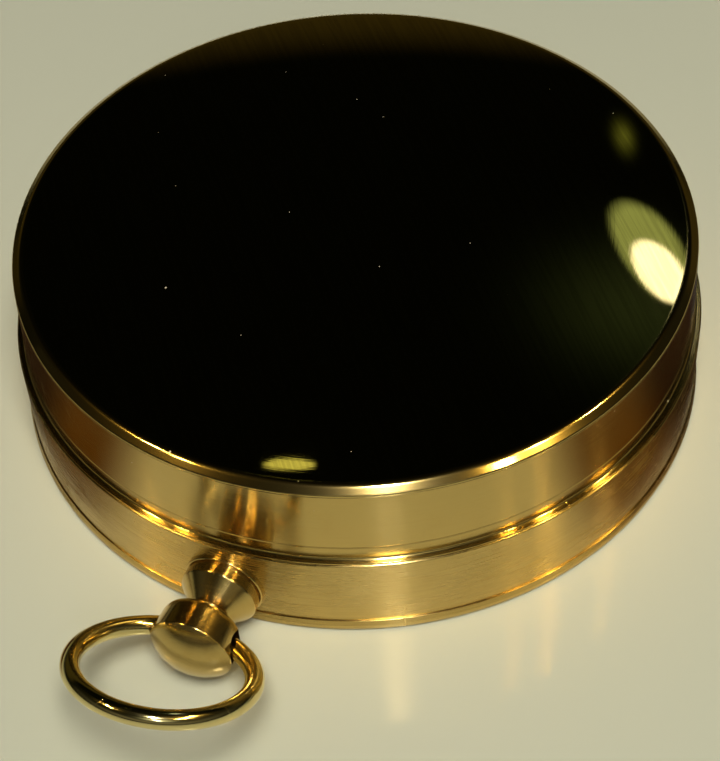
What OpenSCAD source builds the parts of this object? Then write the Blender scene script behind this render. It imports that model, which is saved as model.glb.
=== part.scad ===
// Pocket compass in a round brass case with a hinged lid.
// A crown at the front is pushed in to free the lid, and carries a wire bow ring.
// Millimetres. +Z is up from the resting face, -Y points to the crown, +Y to the hinge.

/* [Case] */
// Outer radius of the case wall
body_r = 25; // [20:0.5:32]
// Height of the case above the resting face
body_h = 7.1; // [6.9:0.1:8.5]
// Thickness of the case wall
body_wall = 1.6; // [1.2:0.1:1.8]
// Thickness of the flange that closes the case round the bowl
flange_t = 1.2; // [0.9:0.1:1.3]
// Width of that flange, from the case's outside to the opening for the bowl
flange_w = 4.35; // [4.2:0.05:5.2]
// Chamfer along the case's top edge
body_edge = 0.12; // [0.05:0.01:0.2]
// Fit of fixed pieces that drop into one another
seat_gap = 0.03; // [0.01:0.01:0.05]

/* [Back] */
// Height of the back's outer band
back_h = 1; // [0.8:0.05:1]
// How far the band stands out from the case wall
back_step = 0.2; // [0.05:0.05:0.4]
// Rounding of the band's lower edge
back_round = 0.35; // [0.1:0.05:0.4]
// Height of the ring that snaps into the case
back_ring_h = 0.8; // [0.6:0.05:0.85]
// Width of that ring
back_ring_t = 0.8; // [0.5:0.1:1]

/* [Bowl and dial] */
// Depth of the bowl below the case's top
bowl_depth = 4.5; // [4.2:0.1:4.7]
// Thickness of the bowl's floor
bowl_floor = 0.8; // [0.5:0.1:0.9]
// Thickness of the bowl's wall
bowl_wall = 0.7; // [0.5:0.05:1]
// How far the bowl's lip and the bezel reach over the flange
bezel_over = 0.85; // [0.6:0.05:0.9]
// Thickness of the bowl's lip
bowl_lip_t = 0.5; // [0.4:0.05:0.7]
// Width of the step that the dial rests on
dial_step_w = 0.8; // [0.5:0.1:1.2]
// Height of that step over the floor
dial_step_h = 0.6; // [0.4:0.05:0.7]
// Thickness of the dial
dial_t = 0.5; // [0.3:0.05:0.6]
// Width of the raised degree ring
degree_ring_w = 2.9; // [2:0.1:3.5]
// Height of the raised degree ring
degree_ring_h = 0.8; // [0.5:0.1:1]
// Slope width inside the degree ring
degree_ring_slope = 0.7; // [0.3:0.1:1]
// Distance of the dial screws from the degree ring
dial_screw_in = 5; // [2:0.5:9]
// Radius of a dial screw's shank
dial_screw_r = 0.5; // [0.4:0.05:0.6]
// Radius of a dial screw's head
dial_screw_head_r = 0.95; // [0.8:0.05:1.2]
// Height of a dial screw's head
dial_screw_head_h = 0.35; // [0.2:0.05:0.45]

/* [Crystal and bezel] */
// Thickness of the bezel's wall round the crystal
bezel_wall = 0.87; // [0.7:0.01:1.2]
// Thickness of the crystal
crystal_t = 1; // [0.8:0.05:1.2]
// Thickness of the gasket under the crystal
gasket_t = 0.2; // [0.1:0.05:0.3]
// How far the bezel's lip reaches over the crystal
bezel_lip_w = 0.93; // [0.6:0.01:1.2]
// Thickness of the bezel's lip
bezel_lip_t = 0.5; // [0.3:0.05:0.7]

/* [Lid] */
// How far the lid's wall stands in from the case's
lid_in = 0.75; // [0.6:0.05:1]
// Thickness of the lid's wall
lid_wall = 0.8; // [0.7:0.05:0.9]
// Height of the lid's band above the case
lid_band_h = 6.3; // [5.5:0.1:8]
// How far the lid's flared foot stands in from the case's wall
lid_foot_in = 0.1; // [0.05:0.01:0.15]
// Width of the flat on the foot outside the cove that joins it to the wall
foot_flat = 0.2; // [0.1:0.05:0.25]
// Thickness of the foot's outer edge
lid_foot_t = 0.12; // [0.08:0.01:0.2]
// Gap between the closed lid and the case
lid_gap = 0.04; // [0.02:0.01:0.06]
// Height above the foot of the fine line cut round the wall
line_up = 1.15; // [0.9:0.05:1.5]
// Width of that line
line_w = 0.16; // [0.1:0.01:0.2]
// Depth of that line
line_deep = 0.05; // [0.03:0.01:0.08]
// Rise of the dome in the middle
dome_rise = 1.4; // [1:0.1:2.5]
// Thickness of the dome
dome_t = 0.8; // [0.6:0.05:1]
// Width of the bevel round the dome
bevel_w = 0.6; // [0.4:0.05:0.9]
// Height of the bevel round the dome
bevel_h = 0.45; // [0.3:0.05:0.6]
// Upright edge under the bevel
dome_land = 0.1; // [0.05:0.01:0.2]
// How far the dome's ring reaches down into the band
dome_plug_h = 0.6; // [0.4:0.1:0.8]
// Width of that ring
dome_plug_w = 0.7; // [0.5:0.1:1]

/* [Hinge] */
// Radius of the hinge knuckles
knuckle_r = 1.1; // [1:0.05:1.2]
// Distance of the hinge line from the case wall
hinge_out = 1.2; // [1.15:0.05:1.3]
// Height of the hinge line over the case's top
hinge_up = 0.1; // [0:0.05:0.2]
// Length of the whole hinge
hinge_l = 12; // [10:0.5:14]
// Length of the lid's knuckle
lid_knuckle_l = 4; // [3:0.5:5]
// Play between neighbouring knuckles
knuckle_gap = 0.1; // [0.05:0.01:0.15]
// Radius of the hinge pin
pin_r = 0.45; // [0.35:0.05:0.5]
// Play of the pin in the lid's knuckle
pin_gap = 0.05; // [0.02:0.01:0.08]
// Thickness of both hinge leaves
leaf_t = 0.7; // [0.5:0.05:0.8]
// Height of the leaf on the case
case_leaf_h = 3; // [2:0.1:3.5]
// Height of the leaf on the lid
lid_leaf_h = 2.8; // [2:0.1:3.5]
// Width of the leaf on the lid
lid_leaf_w = 6.4; // [5:0.1:8]

/* [Crown] */
// Height of the crown's axis
crown_z = 3.4; // [3.35:0.05:4]
// Radius of the pendant's flange
pendant_r = 2.8; // [2.6:0.05:2.9]
// Thickness of the flange outside the case wall
pendant_flange_t = 0.3; // [0.25:0.05:0.4]
// Depth of the flat that the flange is bedded in
pendant_bed = 0.2; // [0.15:0.05:0.3]
// Radius of the pendant's tube through the wall
pendant_tube_r = 1.55; // [1.5:0.05:1.7]
// Length of the pendant's cone
pendant_cone_l = 1.45; // [1.2:0.05:1.5]
// Radius at the cone's tip
pendant_tip_r = 1.4; // [1.3:0.05:1.5]
// Length of the straight collar in front of the cone
collar_l = 0.7; // [0.5:0.05:0.8]
// How far that collar stands in from the flange
collar_in = 0.12; // [0.05:0.01:0.2]
// Width of the groove between flange and collar
pendant_groove_w = 0.2; // [0.1:0.05:0.25]
// Depth of that groove
pendant_groove_deep = 0.35; // [0.2:0.05:0.5]
// Radius of the stem
stem_r = 1; // [0.8:0.05:1]
// Play of the stem in the pendant
stem_gap = 0.03; // [0.02:0.01:0.06]
// Travel of the crown when it is pushed
push_travel = 0.5; // [0.4:0.05:0.5]
// Play left between crown head and pendant when pushed
push_spare = 0.05; // [0.03:0.01:0.1]
// Radius of the crown head at its rim
head_r = 2.9; // [2.75:0.05:2.95]
// Length of the crown head from its shoulder to its rim
head_l = 2.5; // [2.5:0.05:2.8]
// Rounding of the head's shoulder
head_round = 0.9; // [0.6:0.05:1]
// How much the head widens from shoulder to rim
head_flare = 0.15; // [0:0.05:0.3]
// Rise of the head's domed end
head_rise = 1.15; // [0.9:0.05:1.3]
// Width of the bevel at the head's rim
head_bevel = 0.1; // [0.05:0.01:0.15]
// Depth of the stem in the head
stem_in_head = 0.4; // [0.3:0.05:0.45]
// Radius of the stem's thin tip inside the case
stem_tip_r = 0.4; // [0.3:0.05:0.6]
// Radius of the collar that holds the stem in
stem_collar_r = 1.5; // [1.35:0.05:1.55]
// Thickness of that collar
stem_collar_t = 0.25; // [0.15:0.05:0.25]

/* [Bow ring] */
// Radius of the bow ring to the middle of its wire
bow_r = 5.85; // [5.75:0.05:7]
// Radius of the ring's wire
bow_wire_r = 0.65; // [0.5:0.05:0.65]
// Play of the wire in the crown head
bow_gap = 0.04; // [0.03:0.01:0.08]
// Lift of the ring as it lies, in degrees
bow_lift = 29.5; // [-10:0.5:60]
// Distance of the ring's cross hole from the head's shoulder
bow_hole_in = 1.3; // [1.25:0.05:1.35]

/* [Catch] */
// Angle from the crown to the catch's screw, in degrees
catch_angle = 32; // [28:1:40]
// Distance from the case's inner wall to the middle of the catch's arc
catch_in = 1; // [0.95:0.05:1.2]
// Thickness of the catch's arc and arm
catch_t = 0.6; // [0.5:0.05:0.7]
// Height of the catch's arc
catch_h = 1.6; // [1.2:0.1:1.8]
// Height of the catch's arc above the back's ring
catch_up = 1.25; // [1.15:0.05:1.3]
// How far the arm stands out beyond the arc
arm_out = 0.2; // [0.1:0.05:0.2]
// Play of the arm in the case's slot
slot_gap = 0.3; // [0.25:0.05:0.35]
// How far the arc runs past the arm, in degrees
catch_past = 5; // [4:1:8]
// Width of the arm that reaches up to the lid
catch_w = 4.4; // [3.6:0.1:5]
// Play between the hook's nose and the lid's wall
nose_gap = 0.15; // [0.1:0.05:0.2]
// Thickness of the hook
hook_t = 0.6; // [0.4:0.05:0.8]
// Radius of the catch's eye
catch_eye_r = 0.95; // [0.85:0.05:1]
// Radius of the catch screw
catch_screw_r = 0.5; // [0.4:0.05:0.55]
// Radius of the catch screw's head
catch_screw_head_r = 0.85; // [0.75:0.05:0.95]
// Height of the catch screw's head
catch_screw_head_h = 0.45; // [0.3:0.05:0.5]
// Depth of the screw in the flange
catch_screw_in = 0.8; // [0.5:0.05:0.9]
// Thickness of the lid's keeper
keeper_t = 0.45; // [0.35:0.05:0.6]
// Play between the keeper and the catch's arm
keeper_gap = 0.13; // [0.1:0.01:0.2]
// Height of the keeper above the lid's lower edge
keeper_up = 0.15; // [0.1:0.05:0.3]
// Play between hook and keeper
hook_gap = 0.05; // [0.03:0.01:0.1]

/* [Needle] */
// Play between the needle's tips and the degree ring
needle_play = 1; // [0.5:0.1:3]
// Width of the needle in the middle
needle_w = 3; // [2.6:0.1:3.6]
// Width of the needle's blunt tips
needle_tip_w = 0.35; // [0.2:0.05:0.5]
// Thickness of the needle
needle_t = 0.2; // [0.15:0.01:0.3]
// Radius of the needle's brass cap
cap_r = 0.85; // [0.75:0.05:0.95]
// Radius of the cap's flange under the needle
cap_flange_r = 1.25; // [1.1:0.05:1.4]
// Height of the cap over the needle
cap_h = 0.75; // [0.65:0.05:0.9]
// Rounding of the cap's top edge
cap_round = 0.3; // [0.1:0.05:0.4]
// Radius of the jewel in the cap
jewel_r = 0.6; // [0.5:0.05:0.65]
// Thickness of the jewel
jewel_t = 0.4; // [0.3:0.05:0.45]
// Depth of the jewel's cup
cup_deep = 0.22; // [0.15:0.01:0.25]
// Radius of the pivot pin
pivot_r = 0.4; // [0.3:0.05:0.4]
// Play between the needle's cap and the crystal
cap_gap = 0.4; // [0.2:0.05:0.5]
// Length of the pivot's taper
pivot_taper = 0.7; // [0.4:0.05:1]
// Radius at the pivot's tip
pivot_tip_r = 0.05; // [0.02:0.01:0.08]
// Play between the pivot's tip and the jewel's cup
pivot_gap = 0.03; // [0.01:0.01:0.05]
// Radius of the pivot boss over the dial
boss_r = 2.2; // [1.8:0.1:3]
// Height of the pivot boss over the dial
boss_h = 0.6; // [0.4:0.05:0.8]
// Radius of the boss's shank through dial and bowl
boss_shank_r = 1.5; // [1.2:0.1:1.8]
// Distance of the balance clip from the needle's tip
clip_in = 7; // [4:0.5:10]
// Length of the balance clip along the needle
clip_l = 1; // [0.8:0.1:2]
// Thickness of the balance clip
clip_t = 0.15; // [0.1:0.01:0.2]

/* [Hidden] */
$fn = 120;
over = body_wall;

body_in_r = body_r - body_wall;
opening_r = body_r - flange_w;
bowl_r = opening_r - seat_gap;
bowl_in_r = bowl_r - bowl_wall;
bowl_z = body_h - bowl_depth;
floor_z = bowl_z + bowl_floor;
dial_z = floor_z + dial_step_h;
dial_top_z = dial_z + dial_t;
dial_r = bowl_in_r - seat_gap;
degree_in_r = dial_r - degree_ring_w;
dial_screw_x = degree_in_r - dial_screw_in;
lip_z = body_h + bowl_lip_t;
bezel_r = opening_r + bezel_over;
crystal_r = bezel_r - bezel_wall - seat_gap;
bezel_open_r = crystal_r - bezel_lip_w;
crystal_z = lip_z + gasket_t;
crystal_top_z = crystal_z + crystal_t;

lid_r = body_r - lid_in;
lid_in_r = lid_r - lid_wall;
cove_r = lid_in - lid_foot_in - foot_flat;
lid_z = body_h + lid_gap;
lid_foot_r = body_r - lid_foot_in;
cove_z = lid_z + lid_foot_t;
seam_z = body_h + lid_band_h;
dome_r = lid_r - bevel_w;
dome_edge_z = seam_z + dome_land + bevel_h;
dome_curve_r = (pow(dome_r, 2) + pow(dome_rise, 2)) / (2 * dome_rise);
dome_curve_z = dome_edge_z + dome_rise - dome_curve_r;
plug_r = lid_in_r - seat_gap;

hinge_y = body_r + hinge_out;
hinge_z = body_h + hinge_up;

tube_in = body_wall + seat_gap;
cone_s = pendant_flange_t + pendant_groove_w;
cone_r = pendant_r - collar_in;
tip_s = cone_s + collar_l + pendant_cone_l;
shoulder_s = tip_s + push_travel + push_spare;
rim_s = shoulder_s + head_l;
bow_s = shoulder_s + bow_hole_in;
bow_y = -(body_r + bow_s);
// The wire is curved, so the ring's middle is set in until it clears the straight cross hole alike
// in the middle of the head and at its mouths.
bow_inner_r = bow_r - bow_wire_r;
bow_mouth = bow_r - bow_inner_r * cos(asin(head_r / bow_inner_r));
bow_set_in = (bow_mouth - bow_wire_r) / 2;
bow_hole_r = bow_wire_r + bow_set_in + bow_gap;

catch_mid_r = body_in_r - catch_in;
catch_in_r = catch_mid_r - catch_t / 2;
catch_out_r = catch_mid_r + catch_t / 2;
arm_y = -(catch_out_r + arm_out);
catch_z = back_h + back_ring_h + catch_up;
keeper_z = lid_z + keeper_up;
keeper_y = arm_y - keeper_gap;
hook_z = keeper_z + keeper_t + hook_gap;
hook_out = lid_in_r - nose_gap + arm_y;
stem_collar_in = tube_in + seat_gap + stem_collar_t;
stem_tip_in = body_r + arm_y - seat_gap;

needle_l = 2 * (degree_in_r - needle_play);
clip_y = needle_l / 2 - clip_in;
cap_top_z = crystal_z - cap_gap;
jewel_z = cap_top_z - cap_h;
needle_z = jewel_z - needle_t;
cap_flange_t = needle_t;
pivot_tip_z = jewel_z + cup_deep - pivot_gap;

brass = [0.72, 0.56, 0.29];
satin = [0.68, 0.54, 0.3];
steel = [0.45, 0.5, 0.6];

// Turns a child built along +Z so that it points out of the case along the crown's axis.
module along_crown() {
    translate([0, -body_r, crown_z]) rotate([90, 0, 0]) children();
}

// The round flat cut into case and back for the pendant's flange.
module flange_bed() {
    along_crown() translate([0, 0, -pendant_bed]) cylinder(r = pendant_r, h = over);
}

// The hole for the bow ring, drilled across the head and the end of the stem in it.
module cross_hole() {
    translate([-2 * head_r, 0, bow_s]) rotate([0, 90, 0]) cylinder(r = bow_hole_r, h = 4 * head_r);
}

// Puts a child on the catch screw's axis.
module at_catch_screw() {
    rotate([0, 0, -catch_angle]) translate([0, -catch_mid_r, 0]) children();
}

module ring(outer, inner, h) {
    difference() {
        cylinder(r = outer, h = h);
        translate([0, 0, -over]) cylinder(r = inner, h = h + 2 * over);
    }
}

module case_body() {
    color(satin)
    difference() {
        union() {
            rotate_extrude() polygon([
                [body_in_r, back_h], [body_r, back_h], [body_r, body_h - body_edge],
                [body_r - body_edge, body_h], [opening_r, body_h],
                [opening_r, body_h - flange_t], [body_in_r, body_h - flange_t]]);
            at_catch_screw()
                translate([0, 0, catch_z + catch_h + seat_gap])
                cylinder(r = catch_eye_r, h = body_h - flange_t / 2 - catch_z - catch_h - seat_gap);
        }
        flange_bed();
        along_crown() translate([0, 0, -2 * body_wall]) cylinder(r = pendant_tube_r, h = 3 * body_wall);
        translate([-catch_w / 2 - slot_gap, arm_y - slot_gap / 3, body_h - 2 * flange_t])
            cube([catch_w + 2 * slot_gap, catch_t + push_travel + slot_gap, 3 * flange_t]);
        at_catch_screw() cylinder(r = catch_screw_r, h = body_h - flange_t + catch_screw_in);
    }
}

module case_back() {
    ring_r = body_in_r - seat_gap;
    band_r = body_r + back_step;
    color(satin)
    difference() {
        rotate_extrude() union() {
            polygon([
                [0, 0], [band_r - back_round, 0], [band_r, back_round], [band_r, back_h - back_step / 2],
                [band_r - back_step / 2, back_h], [ring_r, back_h], [ring_r, back_h + back_ring_h],
                [ring_r - back_ring_t, back_h + back_ring_h], [ring_r - back_ring_t, back_h],
                [0, back_h]]);
            translate([band_r - back_round, back_round]) circle(r = back_round);
        }
        flange_bed();
    }
}

module bowl() {
    color(brass)
    difference() {
        union() {
            translate([0, 0, bowl_z]) cylinder(r = bowl_r, h = bowl_depth);
            translate([0, 0, body_h]) cylinder(r = bezel_r, h = bowl_lip_t);
        }
        translate([0, 0, dial_z]) cylinder(r = bowl_in_r, h = bowl_depth + over);
        translate([0, 0, floor_z]) cylinder(r = bowl_in_r - dial_step_w, h = bowl_depth);
        cylinder(r = boss_shank_r, h = body_h);
        for (side = [-1, 1])
            translate([side * dial_screw_x, 0, 0]) cylinder(r = dial_screw_r, h = body_h);
    }
}

module dial_plate() {
    color([0.92, 0.9, 0.84])
    translate([0, 0, dial_z])
    difference() {
        cylinder(r = dial_r, h = dial_t);
        translate([0, 0, -over]) cylinder(r = boss_shank_r + seat_gap, h = dial_t + 2 * over);
        for (side = [-1, 1])
            translate([side * dial_screw_x, 0, -over])
            cylinder(r = dial_screw_r + seat_gap, h = dial_t + 2 * over);
    }
}

module degree_ring() {
    color([0.8, 0.79, 0.74])
    rotate_extrude() polygon([
        [degree_in_r, dial_top_z], [dial_r, dial_top_z], [dial_r, dial_top_z + degree_ring_h],
        [degree_in_r + degree_ring_slope, dial_top_z + degree_ring_h]]);
}

module dial_screw(side) {
    color(brass)
    translate([side * dial_screw_x, 0, 0]) {
        translate([0, 0, bowl_z]) cylinder(r = dial_screw_r, h = dial_top_z - bowl_z);
        translate([0, 0, dial_top_z]) cylinder(r = dial_screw_head_r, h = dial_screw_head_h);
    }
}

module dial_screw_e() { dial_screw(1); }

module dial_screw_w() { dial_screw(-1); }

module crystal_gasket() {
    color([0.1, 0.1, 0.1])
    translate([0, 0, lip_z]) ring(crystal_r, bowl_in_r, gasket_t);
}

module crystal() {
    color([0.85, 0.92, 0.95, 0.35])
    translate([0, 0, crystal_z]) cylinder(r = crystal_r, h = crystal_t);
}

module bezel() {
    top_z = crystal_top_z + bezel_lip_t;
    slope = bezel_lip_t;
    color(brass)
    rotate_extrude() polygon([
        [crystal_r + seat_gap, lip_z], [bezel_r, lip_z], [bezel_r, top_z - slope],
        [bezel_r - slope, top_z], [bezel_open_r + slope / 2, top_z], [bezel_open_r, crystal_top_z],
        [crystal_r + seat_gap, crystal_top_z]]);
}

module pivot_boss() {
    color(brass)
    difference() {
        union() {
            translate([0, 0, bowl_z]) cylinder(r = boss_shank_r, h = dial_top_z - bowl_z);
            translate([0, 0, dial_top_z]) cylinder(r1 = boss_r, r2 = boss_r - boss_h / 2, h = boss_h);
        }
        translate([0, 0, floor_z]) cylinder(r = pivot_r, h = body_h);
    }
}

module pivot_pin() {
    color(steel)
    translate([0, 0, floor_z]) {
        cylinder(r = pivot_r, h = pivot_tip_z - pivot_taper - floor_z);
        translate([0, 0, pivot_tip_z - pivot_taper - floor_z])
            cylinder(r1 = pivot_r, r2 = pivot_tip_r, h = pivot_taper);
    }
}

module pendant() {
    color(brass)
    along_crown()
    rotate_extrude() polygon([
        [stem_r + stem_gap, -tube_in], [pendant_tube_r, -tube_in], [pendant_tube_r, -pendant_bed],
        [pendant_r, -pendant_bed], [pendant_r, pendant_flange_t - pendant_groove_w / 2],
        [pendant_r - pendant_groove_w / 2, pendant_flange_t],
        [pendant_r - pendant_groove_deep, pendant_flange_t], [pendant_r - pendant_groove_deep, cone_s],
        [cone_r, cone_s], [cone_r, cone_s + collar_l], [pendant_tip_r, tip_s],
        [stem_r + stem_gap, tip_s]]);
}

module catch_screw() {
    color(steel)
    at_catch_screw() {
        translate([0, 0, catch_z - seat_gap])
            cylinder(r = catch_screw_r, h = body_h - flange_t + catch_screw_in - catch_z + seat_gap);
        translate([0, 0, catch_z - seat_gap - catch_screw_head_h])
            cylinder(r = catch_screw_head_r, h = catch_screw_head_h);
    }
}

// A curved leaf that lies on a round wall, cut to a width.
module leaf(wall_r, width, z_low, h) {
    translate([0, 0, z_low])
    intersection() {
        ring(wall_r + leaf_t, wall_r, h);
        translate([-width / 2, 0, 0]) cube([width, wall_r + 2 * leaf_t, h]);
    }
}

module knuckle(x_low, x_high, outer, bore) {
    translate([x_low, hinge_y, hinge_z]) rotate([0, 90, 0]) ring(outer, bore, x_high - x_low);
}

module case_hinge() {
    half = lid_knuckle_l / 2;
    color(brass)
    difference() {
        union() {
            leaf(body_r, hinge_l, body_h - body_edge - case_leaf_h, case_leaf_h);
            knuckle(-hinge_l / 2, -half, knuckle_r, pin_r);
            knuckle(half, hinge_l / 2, knuckle_r, pin_r);
        }
        translate([-half, hinge_y, hinge_z]) rotate([0, 90, 0])
            cylinder(r = knuckle_r + 2 * knuckle_gap, h = lid_knuckle_l);
        translate([-hinge_l, hinge_y, hinge_z]) rotate([0, 90, 0]) cylinder(r = pin_r, h = 2 * hinge_l);
    }
}

module hinge_pin() {
    color(steel)
    translate([-hinge_l / 2, hinge_y, hinge_z]) rotate([0, 90, 0]) cylinder(r = pin_r, h = hinge_l);
}

module lid_band() {
    line_z = lid_z + line_up;
    color(brass)
    rotate_extrude() difference() {
        polygon([
            [lid_in_r, lid_z], [lid_foot_r, lid_z], [lid_foot_r, cove_z], [lid_r + cove_r, cove_z],
            [lid_r, cove_z + cove_r], [lid_r, line_z], [lid_r - line_deep, line_z + line_w / 2],
            [lid_r, line_z + line_w], [lid_r, seam_z], [lid_in_r, seam_z]]);
        translate([lid_r + cove_r, cove_z + cove_r]) circle(r = cove_r);
    }
}

module lid_dome() {
    top_z = dome_edge_z + dome_rise;
    color(brass)
    rotate_extrude() difference() {
        union() {
            polygon([
                [0, seam_z - dome_plug_h], [plug_r, seam_z - dome_plug_h], [plug_r, seam_z],
                [lid_r, seam_z], [lid_r, seam_z + dome_land], [dome_r, dome_edge_z], [0, dome_edge_z]]);
            intersection() {
                translate([0, dome_curve_z]) circle(r = dome_curve_r, $fn = 12 * $fn);
                translate([0, dome_edge_z]) square([dome_r, dome_rise]);
            }
        }
        intersection() {
            translate([0, dome_curve_z]) circle(r = dome_curve_r - dome_t, $fn = 12 * $fn);
            translate([0, seam_z - 2 * dome_plug_h])
                square([plug_r - dome_plug_w, top_z - seam_z + 2 * dome_plug_h]);
        }
    }
}

module lid_hinge() {
    half = lid_knuckle_l / 2 - knuckle_gap;
    leaf_z = cove_z + cove_r + leaf_t / 5;
    color(brass)
    difference() {
        union() {
            leaf(lid_r, lid_leaf_w, leaf_z, lid_leaf_h);
            knuckle(-half, half, knuckle_r, pin_r + pin_gap);
            translate([-half, lid_r + leaf_t / 4, leaf_z])
                cube([2 * half, hinge_y - lid_r - leaf_t / 4, hinge_z + 0.9 * knuckle_r - leaf_z]);
        }
        translate([-hinge_l, hinge_y, hinge_z]) rotate([0, 90, 0])
            cylinder(r = pin_r + pin_gap, h = 2 * hinge_l);
    }
}

module lid_keeper() {
    color(brass)
    translate([0, 0, keeper_z])
    intersection() {
        cylinder(r = lid_in_r, h = keeper_t, $fn = 8 * $fn);
        translate([-catch_w / 2, -body_r, 0]) cube([catch_w, body_r + keeper_y, keeper_t]);
    }
}

module crown_stem() {
    color(steel)
    along_crown()
    difference() {
        union() {
            translate([0, 0, -stem_collar_in])
                cylinder(r = stem_r, h = stem_collar_in + shoulder_s + stem_in_head);
            translate([0, 0, -stem_tip_in]) cylinder(r = stem_tip_r, h = stem_tip_in);
        }
        cross_hole();
    }
}

module crown_head() {
    shoulder_r = head_r - head_flare;
    cap_r0 = head_r - head_bevel;
    end_curve_r = (pow(cap_r0, 2) + pow(head_rise, 2)) / (2 * head_rise);
    end_s = rim_s + head_bevel;
    color(brass)
    along_crown()
    difference() {
        rotate_extrude() union() {
            polygon([
                [0, shoulder_s], [shoulder_r - head_round, shoulder_s],
                [shoulder_r, shoulder_s + head_round], [head_r, rim_s], [cap_r0, end_s], [0, end_s]]);
            translate([shoulder_r - head_round, shoulder_s + head_round]) circle(r = head_round);
            intersection() {
                translate([0, end_s + head_rise - end_curve_r]) circle(r = end_curve_r, $fn = 2 * $fn);
                translate([0, end_s]) square([cap_r0, head_rise]);
            }
        }
        translate([0, 0, shoulder_s - over]) cylinder(r = stem_r, h = stem_in_head + over);
        cross_hole();
    }
}

module stem_collar() {
    color(steel)
    along_crown() translate([0, 0, -stem_collar_in]) ring(stem_collar_r, stem_r, stem_collar_t);
}

module bow_ring() {
    color(brass)
    translate([0, bow_y, crown_z]) rotate([-bow_lift, 0, 0])
    translate([0, -(bow_r - bow_set_in), 0])
    rotate_extrude() translate([bow_r, 0]) circle(r = bow_wire_r, $fn = 60);
}

module catch_lever() {
    wedge = 2 * body_r;
    color(steel)
    difference() {
        union() {
            intersection() {
                translate([0, 0, catch_z]) ring(catch_out_r, catch_in_r, catch_h);
                linear_extrude(2 * body_h) polygon([
                    [0, 0], [-wedge * sin(catch_angle), -wedge * cos(catch_angle)],
                    [wedge * sin(catch_past), -wedge * cos(catch_past)]]);
            }
            at_catch_screw() translate([0, 0, catch_z]) cylinder(r = catch_eye_r, h = catch_h);
            translate([-catch_w / 2, arm_y, catch_z]) cube([catch_w, catch_t, hook_z + hook_t - catch_z]);
            translate([-catch_w / 2, arm_y - hook_out, hook_z])
                cube([catch_w, hook_out + catch_t / 2, hook_t]);
        }
        at_catch_screw() cylinder(r = catch_screw_r + pin_gap, h = 2 * body_h);
    }
}

module needle_outline() {
    polygon([
        [-needle_tip_w / 2, -needle_l / 2], [needle_tip_w / 2, -needle_l / 2], [needle_w / 2, 0],
        [needle_tip_w / 2, needle_l / 2], [-needle_tip_w / 2, needle_l / 2], [-needle_w / 2, 0]]);
}

module needle_blade() {
    color(steel)
    translate([0, 0, needle_z])
    difference() {
        linear_extrude(needle_t) needle_outline();
        translate([0, 0, -over]) cylinder(r = cap_r, h = 2 * over);
    }
}

module needle_cap() {
    bottom_z = needle_z - cap_flange_t;
    color(brass)
    difference() {
        rotate_extrude() union() {
            polygon([
                [0, bottom_z], [cap_flange_r, bottom_z], [cap_flange_r, needle_z], [cap_r, needle_z],
                [cap_r, cap_top_z - cap_round], [cap_r - cap_round, cap_top_z], [0, cap_top_z]]);
            translate([cap_r - cap_round, cap_top_z - cap_round]) circle(r = cap_round);
        }
        translate([0, 0, bottom_z - over]) cylinder(r = jewel_r, h = jewel_z + jewel_t - bottom_z + over);
    }
}

module cap_jewel() {
    cup_r = 0.8 * jewel_r;
    color([0.7, 0.1, 0.2])
    translate([0, 0, jewel_z])
    difference() {
        cylinder(r = jewel_r, h = jewel_t);
        translate([0, 0, -cup_deep]) cylinder(r1 = 2 * cup_r, r2 = pivot_tip_r, h = 2 * cup_deep);
    }
}

module balance_clip() {
    blade_w = needle_w - (needle_w - needle_tip_w) * (clip_y - clip_l / 2) / (needle_l / 2);
    clip_w = blade_w + 2 * clip_t;
    color(brass)
    translate([0, -clip_y, needle_z])
    difference() {
        translate([-clip_w / 2, -clip_l / 2, -clip_t]) cube([clip_w, clip_l, needle_t + 2 * clip_t]);
        translate([0, clip_y, 0]) linear_extrude(needle_t) needle_outline();
    }
}

case_body();
case_back();
bowl();
dial_plate();
degree_ring();
dial_screw_e();
dial_screw_w();
crystal_gasket();
crystal();
bezel();
pivot_boss();
pivot_pin();
pendant();
catch_screw();
case_hinge();
hinge_pin();
lid_band();
lid_dome();
lid_hinge();
lid_keeper();
crown_stem();
crown_head();
stem_collar();
bow_ring();
catch_lever();
needle_blade();
needle_cap();
cap_jewel();
balance_clip();
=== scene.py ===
# %% [markdown]
# # A closed brass pocket compass
#
# This lesson dresses a pocket compass: a round brass case with a mirror-polished lid, a push crown
# on a short neck, a wire bow ring, and inside, under glass, a printed dial with a steel needle.
# A CAD frame gives every piece at its real size. Blender adds the fine edges, the turned surfaces
# and the finish.

from math import atan2, cos, degrees, hypot, pi, radians, sin, sqrt, tan

import bmesh
import bpy
from mathutils import Matrix, Vector


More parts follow.
